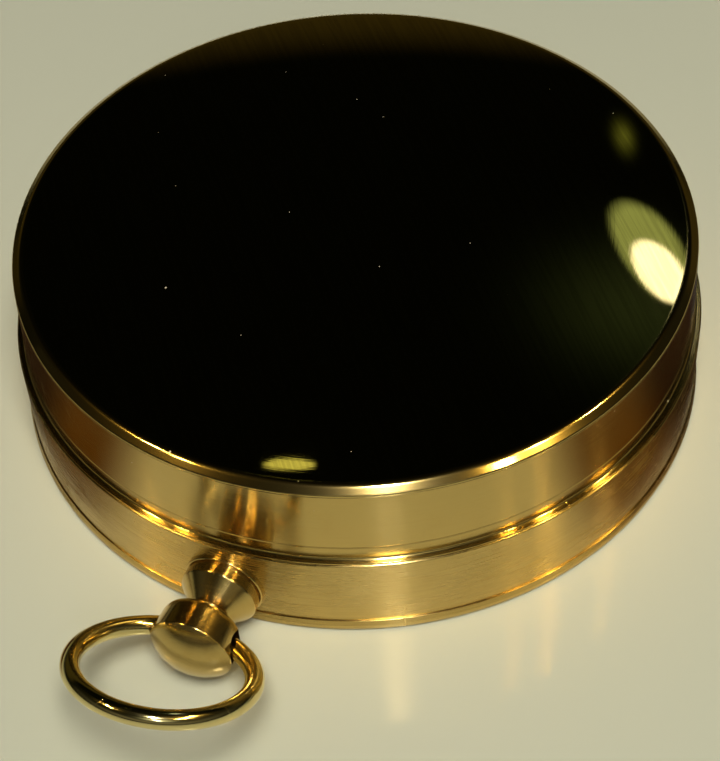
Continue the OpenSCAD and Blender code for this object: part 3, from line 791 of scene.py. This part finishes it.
# %% Turn the back
back_high = cad_corners("case_back")[1]
band_r = back_high.x
back_top = case_low.z
ring_r = case_in_r - 0.03
ring_in_r = ring_r - 0.8
back_outline = rounded([
    (0, 0, 0), (7, 0, 0), (14, 0, 0), (21.2, 0, 0.02), (21.35, 0.1, 0.03), (21.5, 0, 0.02),
    (band_r, 0, 0.35), (band_r, 0.6, 0.1), (case_r + 0.09, back_top, 0.02),
    (ring_r, back_top, 0), (ring_r, back_high.z, edge), (ring_in_r, back_high.z, edge),
    (ring_in_r, back_top, 0.1), (12, back_top, 0), (0, back_top, 0),
], steps=6)
case_back = cut(turned("back", back_outline), rod(flange_r + 0.01, bed_s, 3, OUT))
put(case_back, satin_brass, "case", "case_back")

# %% [markdown]
# ## Crown, pendant and bow
#
# The crown is pushed to open the lid, so its neck, the pendant, is a fixed collar and cone, and the
# head slides a little with its stem. Their turning rings run round the crown's own axis. The bow is
# a closed ring of drawn wire that hangs free in the head's cross hole.

# %% Turn the pendant
crown_brass = metal(
    "crown_brass", (0.13, 0.21), 0.0015, 0.003, 0.35, axis="Y", middle=crown_middle, scratch=0.003,
    tarnish=0.5, dust=0.15,
)
lathed("pendant_neck", [
    (1.03, -1.63, 0), (1.55, -1.63, 0.04), (1.55, bed_s, 0), (flange_r, bed_s, 0),
    (flange_r, 0.3, 0.09), (2.45, 0.3, 0.03), (2.45, 0.5, 0.03), (2.68, 0.5, 0.06),
    (2.68, 1.2, 0.15), (1.4, 2.65, 0.1), (1.03, 2.65, 0.04),
], crown_brass, "case", "pendant", OUT, 128)

# %% Turn the crown's head
head_s = 3.2
rim_s = 5.7
head_r = 2.9
cap_s = rim_s + 0.1
cap_r = head_r - 0.1
head_rise = 1.15
cap_ball_r = (cap_r ** 2 + head_rise ** 2) / (2 * head_rise)
cap_start = degrees(atan2(cap_ball_r - head_rise, cap_r))
cap_end = cap_s + head_rise
cap_arc = arc((0, cap_end - cap_ball_r), cap_ball_r, cap_start + 2, 90, 14)
head_outline = rounded(
    [(0, head_s, 0), (1.0, head_s, 0), (head_r - 0.15, head_s, 0.88), (head_r, rim_s, 0.09)]
    + [(cap_r, cap_s, 0.08)] + cap_arc[:-1] + [(0, cap_end, 0)],
    steps=8,
)
bow_s = head_s + 1.3
bow_hole_r = 1.13
hole_place = at((0, -case_r - bow_s, crown_z), pi / 2, "Y")
head = cut(turned("crown_knob", head_outline, OUT, 128), rod(bow_hole_r, -6, 6, hole_place, 64))
put(head, crown_brass, "crown", "crown_head")

# %% Turn the crown's stem and its collar
steel = grey_metal(
    "turned_steel", (0.18, 0.30), 0.002, 0.004, 0.4, axis="Y", middle=crown_middle, tarnish=0.5
)
stem_outline = rounded([
    (0, -2.07, 0), (0.4, -2.07, 0.1), (0.4, -1.91, 0.02), (1.0, -1.91, 0.03), (1.0, 3.6, 0.03),
    (0, 3.6, 0),
])
stem = cut(turned("stem", stem_outline, OUT, 64), rod(bow_hole_r, -6, 6, hole_place, 64))
put(stem, steel, "crown", "crown_stem")
collar = [(1.0, -1.91, 0), (1.5, -1.91, edge), (1.5, -1.66, edge), (1.0, -1.66, 0)]
lathed("stem_stop", collar, steel, "crown", "stem_collar", OUT, 64)

# %% Bend the bow ring
bow_r = 5.85
wire_r = 0.65
bow_set_in = 0.442
bow_lift = radians(29.5)
ring_out = bow_r - bow_set_in
ring_middle = (0, -case_r - bow_s - ring_out * cos(bow_lift), crown_z + ring_out * sin(bow_lift))
ring_place = at(ring_middle, -bow_lift, "X")
wire_brass = metal(
    "bow_wire_brass", (0.06, 0.13), 0.001, 0.002, middle=ring_middle, scratch=0.004,
    tarnish=0.3, dust=0.1, base=tone(0.76, 0.64, 0.30),
)
wire_outline = arc((bow_r, 0), wire_r, 0, 360, 40)[:-1]
put(turned("bow", wire_outline, ring_place, 192), wire_brass, "bow", "bow_ring")

# %% [markdown]
# ## The hinge and the catch
#
# The hinge stands opposite the crown: a leaf and two knuckles on the case, a leaf and one knuckle
# on the lid, and a pin. The catch inside is a steel strip that turns on a screw; the crown's stem
# pushes it inwards, and its hook lets go of the keeper in the lid. These are bent and milled
# pieces, so they are dressed copies, and only pin and screws are turned.

# %% Dress the hinge and turn its pin
hinge_middle = (0, 26.2, 7.2)
hinge_brass = metal(
    "hinge_brass", (0.10, 0.18), 0.001, 0.002, 0.2, axis="X", middle=hinge_middle, scratch=0.003,
    tarnish=0.45, dust=0.1,
)
pin_steel = grey_metal(
    "pin_steel", (0.15, 0.25), 0.001, 0.002, axis="X", middle=hinge_middle, tarnish=0.5
)
put(dressed("hinge_on_case", "case_hinge"), hinge_brass, "case", "case_hinge")
put(dressed("hinge_on_lid", "lid_hinge"), hinge_brass, "lid", "lid_hinge")
pin_place = at(hinge_middle, pi / 2, "Y")
pin = [(0, -6, 0), (0.45, -6, 0.12), (0.45, 6, 0.12), (0, 6, 0)]
lathed("pin", pin, pin_steel, "case", "hinge_pin", pin_place, 64)

# %% Dress the catch and turn its screw
catch_steel = grey_metal("catch_steel", (0.22, 0.34), 0.002, 0.004, tarnish=0.6, scratch=0.002)
put(dressed("catch", "catch_lever"), catch_steel, "catch", "catch_lever")


def slotted_screw(name, middle, head_r, shank_r, tip_z, face_z, top_z):
    """A turned screw with a sawn slot; its head lies between the face and the top."""
    place = at((middle[0], middle[1], 0))
    outline = rounded([
        (0, tip_z, 0), (shank_r, tip_z, 0.05), (shank_r, face_z, 0.02), (head_r, face_z, 0.03),
        (head_r, top_z, 0.12), (0, top_z, 0),
    ])
    slot = block((-2, -0.11, top_z - 0.15), (2, 0.11, top_z + 0.15), place)
    return cut(turned(name, outline, place, 48), slot)


catch_r = 22.4
catch_turn = radians(32)
screw_spot = (-catch_r * sin(catch_turn), -catch_r * cos(catch_turn))
catch_screw = slotted_screw("catch_pivot_screw", screw_spot, 0.85, 0.5, 6.7, 3.02, 2.57)
put(catch_screw, catch_steel, "case", "catch_screw")

# %% [markdown]
# ## The bowl, the glass and its bezel
#
# The bowl is a turned cup that drops into the case and carries the dial on a step. A rubber gasket,
# the glass and a bezel close it. For shadow rays the glass is plain transparent, so the lamps reach
# the dial without a search for light through two bent surfaces.

# %% Turn the bowl and its bezel
hub_r = 1.5
bowl_low = 2.6
floor_z = 3.4
dial_z = 4.0
seat_z = 7.6
glass_low = 7.8
glass_top = 8.8
bezel_top = 9.3
glass_r = 20.6
bowl_in_r = 19.92
bowl_r = 21.5
screw_out = 11.99


def screw_bores(radius, low, high):
    """Cutters for the two screw bores, east and west of the middle."""
    return [rod(radius, low, high, at((side * screw_out, 0, 0)), 48) for side in (1, -1)]


bowl_outline = rounded([
    (hub_r, bowl_low, 0), (20.62, bowl_low, 0.2), (20.62, case_top, 0), (bowl_r, case_top, 0),
    (bowl_r, seat_z, 0), (bowl_in_r, seat_z, 0.08), (bowl_in_r, dial_z, 0), (19.12, dial_z, 0.05),
    (19.12, floor_z, 0.1), (hub_r, floor_z, 0),
])
bowl = cut(turned("bowl_cup", bowl_outline), *screw_bores(0.5, 2, 5))
put(bowl, inner_brass, "case", "bowl")
lathed("bezel_ring", [
    (20.63, seat_z, 0), (bowl_r, seat_z, 0.03), (bowl_r, glass_top, 0.08), (21.0, bezel_top, 0.1),
    (bowl_in_r, bezel_top, 0.1), (19.67, glass_top, 0.04), (20.63, glass_top, 0),
], bezel_brass, "case", "bezel")

# %% Seal and glaze it
rubber, bench = new_material("gasket_rubber")
grain = bench.noise(place_in_mm(bench), 6.0, 3.0)
black = bench.mixed(grain, tone(0.018, 0.018, 0.018), tone(0.035, 0.034, 0.032))
coated(bench, black, grain, (0.6, 0.8), 0.01)
lathed("gasket", [
    (bowl_in_r, seat_z, 0.05), (glass_r, seat_z, 0.05), (glass_r, glass_low, 0.05),
    (bowl_in_r, glass_low, 0.05),
], rubber, "case", "crystal_gasket")

glass, bench = new_material("crystal_glass")
wiped = bench.noise(bench.vector("MULTIPLY", place_in_mm(bench), (0.3, 1.1, 1.0)), 0.4, 3.0)
feeds = {"Base Color": tone(0.975, 0.99, 0.985), "Roughness": bench.span(wiped, 0.4, 0.8, 0.0, 0.04)}
solid = principled(bench, feeds, transmission_weight=1.0, ior=1.5)
clear = bench.add("ShaderNodeBsdfTransparent", {"Color": tone(0.94, 0.95, 0.945)})
shadow = bench.add("ShaderNodeLightPath").outputs["Is Shadow Ray"]
through = bench.add("ShaderNodeMixShader", {0: shadow, 1: solid.outputs[0], 2: clear.outputs[0]})
shown(bench, through)
lathed("glass", [
    (0, glass_low, 0), (glass_r, glass_low, 0.12), (glass_r, glass_top, 0.12), (0, glass_top, 0),
], glass, "case", "crystal")

# %% [markdown]
# ## The dial
#
# The dial is an enamelled plate, and a silvered ring with the degrees stands on its edge. Each
# printed mark is a very thin solid of ink. Marks, rays and screws repeat round the middle, which is
# one rule for Geometry Nodes: repeat a part that is drawn in its first place so many times round
# the axis, leaving out each n-th one where a longer mark stands.

# %% A tree that repeats a part round the axis
round_tree = bpy.data.node_groups.new("parts_round_the_axis", "GeometryNodeTree")
bench = Bench(round_tree)
round_tree.interface.new_socket("Geometry", in_out="OUTPUT", socket_type="NodeSocketGeometry")
for label, kind in (("Part", "Object"), ("Count", "Int"), ("Skip", "Int"), ("First", "Int"),
                    ("Finish", "Material")):
    round_tree.interface.new_socket(label, in_out="INPUT", socket_type="NodeSocket" + kind)
given = bench.add("NodeGroupInput").outputs
index = bench.add("GeometryNodeInputIndex").outputs[0]
left = bench.calc("MODULO", bench.calc("ADD", index, given["First"]), given["Skip"])
kept = bench.calc("GREATER_THAN", left, 0.5)
step_angle = bench.calc("DIVIDE", 2 * pi, given["Count"])
angle = bench.joined(0.0, 0.0, bench.calc("MULTIPLY", index, step_angle))
spots = bench.add("GeometryNodePoints", {"Count": given["Count"]}).outputs[0]
part = bench.add("GeometryNodeObjectInfo", {"Object": given["Part"]}).outputs["Geometry"]
feeds = {"Points": spots, "Selection": kept, "Instance": part, "Rotation": angle}
placed = bench.add("GeometryNodeInstanceOnPoints", feeds).outputs[0]
real = bench.add("GeometryNodeRealizeInstances", {"Geometry": placed}).outputs[0]
inked = bench.add("GeometryNodeSetMaterial", {"Geometry": real, "Material": given["Finish"]})
bench.add("NodeGroupOutput", {"Geometry": inked.outputs[0]})


def round_axis(name, part, finish, count, skip=1000, first=1):
    """Repeat a part round the Z axis into one plain mesh, and throw the part away."""
    made = made_object(name, bmesh.new())
    repeat = made.modifiers.new("repeat", "NODES")
    repeat.node_group = round_tree
    wanted = {"Part": part, "Count": count, "Skip": skip, "First": first, "Finish": finish}
    for socket in round_tree.interface.items_tree:
        if socket.in_out == "INPUT":
            repeat[socket.identifier] = wanted[socket.name]
    settled(made)
    bpy.data.objects.remove(part)
    return made


print("tree for round patterns:", round_tree.name)

# %% Enamel, silver and ink
enamel, bench = new_material("dial_enamel")
place = place_in_mm(bench)
aged = bench.span(bench.noise(place, 0.12, 3.0), 0.3, 0.7)
cream = bench.mixed(aged, tone(0.47, 0.465, 0.415), tone(0.44, 0.43, 0.37))
coated(bench, cream, bench.noise(place, 9.0, 3.0, 0.6), (0.28, 0.40), 0.002, specular_ior_level=0.5)
silvered = metal(
    "silvered_ring", (0.30, 0.42), 0.003, 0.006, 0.5, base=tone(0.62, 0.61, 0.58),
    stain=tone(0.55, 0.50, 0.40), tarnish=0.2, slot="silvered_brass",
)


def ink(name, wet, dry):
    """Printing ink with a faint grain."""
    made, bench = new_material(name)
    grain = bench.noise(place_in_mm(bench), 12.0, 2.0)
    coated(bench, bench.mixed(bench.span(grain, 0.3, 0.7), wet, dry), grain, (0.32, 0.5), 0.001)
    return made


def printed(made, finish):
    """Let a printed mark ride on the case."""
    put(made, finish, "case")


black_ink = ink("black_ink", tone(0.012, 0.012, 0.013), tone(0.030, 0.029, 0.028))
ochre_ink = ink("ochre_ink", tone(0.42, 0.25, 0.06), tone(0.50, 0.31, 0.09))
red_ink = ink("red_ink", tone(0.36, 0.02, 0.015), tone(0.44, 0.035, 0.025))

# %% Turn the dial and the degree ring
dial_top = 4.5
dial_r = 19.89
ring_top = 5.3
ring_slope_r = 16.99
dial_in_r = 1.53
dial_outline = rounded([
    (dial_in_r, dial_z, 0), (dial_r, dial_z, edge), (dial_r, dial_top, edge), (dial_in_r, dial_top, 0),
])
dial = cut(turned("dial", dial_outline), *screw_bores(0.53, 3, 6))
put(dial, enamel, "case", "dial_plate")
lathed("scale_ring", [
    (ring_slope_r, dial_top, 0), (dial_r, dial_top, 0), (dial_r, ring_top, edge),
    (ring_slope_r + 0.7, ring_top, 0.08),
], silvered, "case", "degree_ring")

# %% Print the degree marks
ink_t = 0.02


def mark(length, width):
    """One degree mark at the ring's edge, in the first place."""
    outer = 19.75
    return block((outer - length, -width / 2, ring_top - ink_t), (outer, width / 2, ring_top + ink_t))


for label, length, width, count, skip, first in (
    ("marks_2_degrees", 0.45, 0.07, 180, 5, 0),
    ("marks_10_degrees", 0.70, 0.10, 36, 3, 0),
    ("marks_30_degrees", 0.85, 0.14, 12, 1000, 1),
):
    printed(round_axis(label, mark(length, width), black_ink, count, skip, first), black_ink)

# %% Print the circles
def hoop(name, radius, width, height):
    """A printed circle as a flat ring of ink."""
    low, high = height - ink_t, height + ink_t
    inner, outer = radius - width / 2, radius + width / 2
    return turned(name, [(inner, low), (outer, low), (outer, high), (inner, high)], turn=192)


for label, radius, width, height in (
    ("hoop_rose", 10.75, 0.14, dial_top), ("hoop_letters", 16.35, 0.10, dial_top),
    ("hoop_edge", 16.65, 0.18, dial_top), ("hoop_scale", 19.8, 0.06, ring_top),
    ("hoop_numbers", 17.85, 0.05, ring_top),
):
    printed(hoop(label, radius, width, height), black_ink)

# %% Print the rose
def half_ray(lean, side, reach, waist, half_width):
    """Half of a star's ray: a thin three-cornered solid on one side of its middle line."""
    corners = [(2.35, 0), (waist, side * half_width), (reach, 0)]
    mesh = bmesh.new()
    turn = Matrix.Rotation(radians(lean), 2)
    rims = []
    for height in (dial_top - ink_t, dial_top + ink_t):
        points = [turn @ Vector(corner) for corner in corners]
        rims.append([mesh.verts.new(Vector((p.x, p.y, height)) * MM) for p in points])
    mesh.faces.new(rims[0])
    mesh.faces.new(rims[1])
    for step in range(3):
        after = (step + 1) % 3
        mesh.faces.new((rims[0][step], rims[0][after], rims[1][after], rims[1][step]))
    bmesh.ops.recalc_face_normals(mesh, faces=mesh.faces)
    return made_object("ray", mesh)


for label, lean, reach, waist, half_width, count in (
    ("main", 0, 10.4, 3.6, 1.45, 4), ("between", 45, 8.0, 3.9, 1.15, 4),
    ("small", 22.5, 5.9, 4.0, 0.6, 8),
):
    for side, shade, finish in ((1, "dark_", black_ink), (-1, "ochre_", ochre_ink)):
        ray = half_ray(lean, side, reach, waist, half_width)
        printed(round_axis("rose_" + shade + label, ray, finish, count), finish)

# %% Print letters and numbers
cap_share = 0.682
cap_middle = 0.041


def lettering(name, words, height):
    """Words as one thin mesh; each word has its bearing, distance and letter height."""
    joined = bmesh.new()
    for word, bearing, distance, size in words:
        drawn = bpy.data.curves.new("word", "FONT")
        drawn.body = word
        drawn.size = size * MM / cap_share
        drawn.align_x = "CENTER"
        drawn.align_y = "CENTER"
        drawn.resolution_u = 3
        drawn.extrude = ink_t * MM
        drawn.offset = 0.022 * drawn.size
        pen = bpy.data.objects.new("word", drawn)
        bpy.context.collection.objects.link(pen)
        flat = final_mesh(pen)
        up = distance * MM - cap_middle * drawn.size
        there = Matrix.Rotation(-radians(bearing), 4, "Z")
        flat.transform(there @ Matrix.Translation((0, up, height * MM)))
        joined.from_mesh(flat)
        bpy.data.objects.remove(pen)
        bpy.data.meshes.remove(flat)
    bmesh.ops.remove_doubles(joined, verts=joined.verts, dist=1e-7)
    bmesh.ops.recalc_face_normals(joined, faces=joined.faces)
    return made_object(name, joined)


letters = [("E", 90, 14.6, 2.3), ("S", 180, 14.0, 2.4), ("W", 270, 14.6, 2.3)]
for word, bearing in (("NE", 45), ("SE", 135), ("SW", 225), ("NW", 315)):
    letters.append((word, bearing, 12.9, 1.3))
numbers = [(str(bearing), bearing, 18.42, 0.95) for bearing in range(0, 360, 30)]
printed(lettering("letter_north", [("N", 0, 13.8, 2.7)], dial_top), red_ink)
printed(lettering("letters", letters, dial_top), black_ink)
printed(lettering("numbers", numbers, ring_top), black_ink)

# %% Drive in the dial screws
dial_screw = slotted_screw("dial_screw", (screw_out, 0), 0.95, 0.5, bowl_low, dial_top, 4.85)
screws = round_axis("dial_screws", dial_screw, bezel_brass, 2)
put(screws, bezel_brass, "case", "dial_screw_e", "dial_screw_w")

# %% [markdown]
# ## The needle
#
# The needle is a thin steel blade with a ridge along it, blued on its north half and bright on its
# south half. A brass cap in its middle holds a jewel, which rides on the point of a steel pivot,
# and a small brass clip on the south arm balances the pull of the earth's field downwards.

# %% Turn the boss and the pivot
pivot_r = 0.4
boss_top = 5.1
lathed("boss", [
    (pivot_r, bowl_low, 0), (hub_r, bowl_low, edge), (hub_r, dial_top, 0), (2.2, dial_top, 0),
    (2.2, 4.62, 0.05), (1.9, boss_top, 0.12), (pivot_r, boss_top, 0.05),
], bezel_brass, "case", "pivot_boss", turn=96)
lathed("pivot", [
    (0, floor_z, 0), (pivot_r, floor_z, 0.05), (pivot_r, 6.14, 0.05), (0.05, 6.84, 0.02), (0, 6.84, 0),
], catch_steel, "case", "pivot_pin", turn=48)

# %% Grind the needle
blued, bench = new_material("needle_steel")
place = place_in_mm(bench)
lines = bench.noise(bench.vector("MULTIPLY", place, (9.0, 0.5, 9.0)), 1.0, 3.0)
northern = bench.span(bench.parts(place)["Y"], -0.02, 0.02)
blue = bench.mixed(lines, tone(0.020, 0.045, 0.16), tone(0.035, 0.065, 0.24))
bright = bench.mixed(lines, tone(0.58, 0.59, 0.60), tone(0.44, 0.44, 0.43))
coated(bench, bench.mixed(northern, bright, blue), lines, (0.16, 0.30), 0.002, metallic=1.0)

needle_l = 31.98
needle_low = 6.45
needle_side = 6.53
needle_high = 6.65


def needle_rim(mesh, height):
    """The needle's six corners at one height."""
    tip, waist = 0.175, 1.5
    corners = [(-tip, -1), (tip, -1), (waist, 0), (tip, 1), (-tip, 1), (-waist, 0)]
    return [mesh.verts.new(Vector((x, y * needle_l / 2, height)) * MM) for x, y in corners]


blade = bmesh.new()
low_rim = needle_rim(blade, needle_low)
side_rim = needle_rim(blade, needle_side)
south = blade.verts.new(Vector((0, -needle_l / 2 + 0.3, needle_high)) * MM)
middle = blade.verts.new(Vector((0, 0, needle_high)) * MM)
north = blade.verts.new(Vector((0, needle_l / 2 - 0.3, needle_high)) * MM)
blade.faces.new(low_rim)
for step in range(6):
    after = (step + 1) % 6
    blade.faces.new((low_rim[step], low_rim[after], side_rim[after], side_rim[step]))
ridge = ((south,), (middle, south), (north, middle), (north,), (middle, north), (south, middle))
for step, tops in enumerate(ridge):
    blade.faces.new((side_rim[step], side_rim[(step + 1) % 6], *tops))
bmesh.ops.recalc_face_normals(blade, faces=blade.faces)
needle = smoothed(cut(made_object("needle", blade), rod(0.86, 6, 7, turn=64)), 3)
put(needle, blued, "needle", "needle_blade")

# %% Cap, jewel and clip
cap_outline = rounded([
    (0.6, 6.25, 0), (1.25, 6.25, 0.04), (1.25, 6.45, 0.04), (0.85, 6.45, 0), (0.85, 7.4, 0.28),
    (0, 7.4, 0), (0, 7.05, 0), (0.6, 7.05, 0),
], steps=6)
put(turned("cap", cap_outline, turn=64), bezel_brass, "needle", "needle_cap")

ruby, bench = new_material("ruby_jewel")
deep = bench.noise(place_in_mm(bench), 3.0, 2.0)
red = bench.mixed(deep, tone(0.55, 0.02, 0.07), tone(0.35, 0.01, 0.05))
coated(bench, red, deep, (0.05, 0.12), ior=1.76)
jewel_outline = [(0, 6.855), (0.05, 6.86), (0.55, 6.65), (0.6, 6.67), (0.6, 7.05), (0, 7.05)]
put(turned("jewel", jewel_outline, turn=48), ruby, "needle", "cap_jewel")
clip = dressed("clip", "balance_clip", 0.03)
put(clip, bezel_brass, "needle", "balance_clip")
